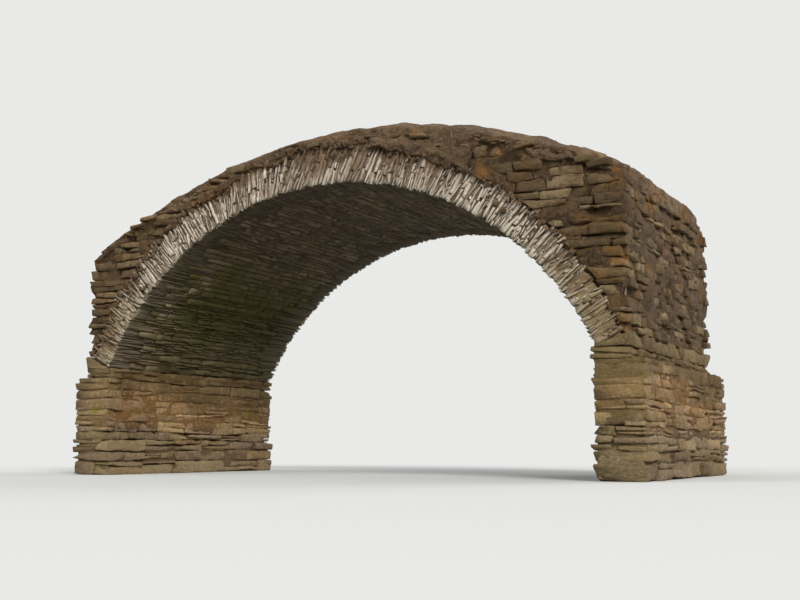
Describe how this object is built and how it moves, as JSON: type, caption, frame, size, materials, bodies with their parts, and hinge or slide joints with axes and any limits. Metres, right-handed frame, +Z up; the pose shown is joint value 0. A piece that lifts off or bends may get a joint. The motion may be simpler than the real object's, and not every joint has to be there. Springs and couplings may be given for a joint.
{
  "type": "stone arch bridge",
  "caption": "Small ruined stone arch bridge: a segmental ring of thin rubble slabs on low coursed abutments, with rubble haunches and a bare earth deck.",
  "frame": {"origin": "centre of the bridge's box on the ground, under the crown of the arch, at the foot of the abutments", "axes": "+X along the span, to the right when the pictured face is seen from in front; +Y through the barrel from the pictured face to the other; +Z up"},
  "size_m": [6.14, 3.04, 3.3234],
  "materials": {
    "ring_stone": "matte",
    "soffit_stone": "matte",
    "abutment_stone": "matte",
    "footing_stone": "matte",
    "haunch_rubble": "matte",
    "deck_earth": "matte"
  },
  "bodies": {
    "root": {"left_footing": "footing_stone", "right_footing": "footing_stone", "left_abutment": "abutment_stone", "right_abutment": "abutment_stone", "left_springer": "abutment_stone", "right_springer": "abutment_stone", "vault_left_foot": "soffit_stone", "vault_left_haunch": "soffit_stone", "vault_left_shoulder": "soffit_stone", "vault_crown": "soffit_stone", "vault_right_shoulder": "soffit_stone", "vault_right_haunch": "soffit_stone", "vault_right_foot": "soffit_stone", "front_ring_left_foot": "ring_stone", "front_ring_left_haunch": "ring_stone", "front_ring_left_shoulder": "ring_stone", "front_ring_crown": "ring_stone", "front_ring_right_shoulder": "ring_stone", "front_ring_right_haunch": "ring_stone", "front_ring_right_foot": "ring_stone", "back_ring_left_foot": "ring_stone", "back_ring_left_haunch": "ring_stone", "back_ring_left_shoulder": "ring_stone", "back_ring_crown": "ring_stone", "back_ring_right_shoulder": "ring_stone", "back_ring_right_haunch": "ring_stone", "back_ring_right_foot": "ring_stone", "front_left_haunch_wall": "haunch_rubble", "front_right_haunch_wall": "haunch_rubble", "back_left_haunch_wall": "haunch_rubble", "back_right_haunch_wall": "haunch_rubble", "left_haunch_fill": "haunch_rubble", "right_haunch_fill": "haunch_rubble", "left_deck_earth": "deck_earth", "crown_deck_earth": "deck_earth", "right_deck_earth": "deck_earth"}
  },
  "joints": []
}
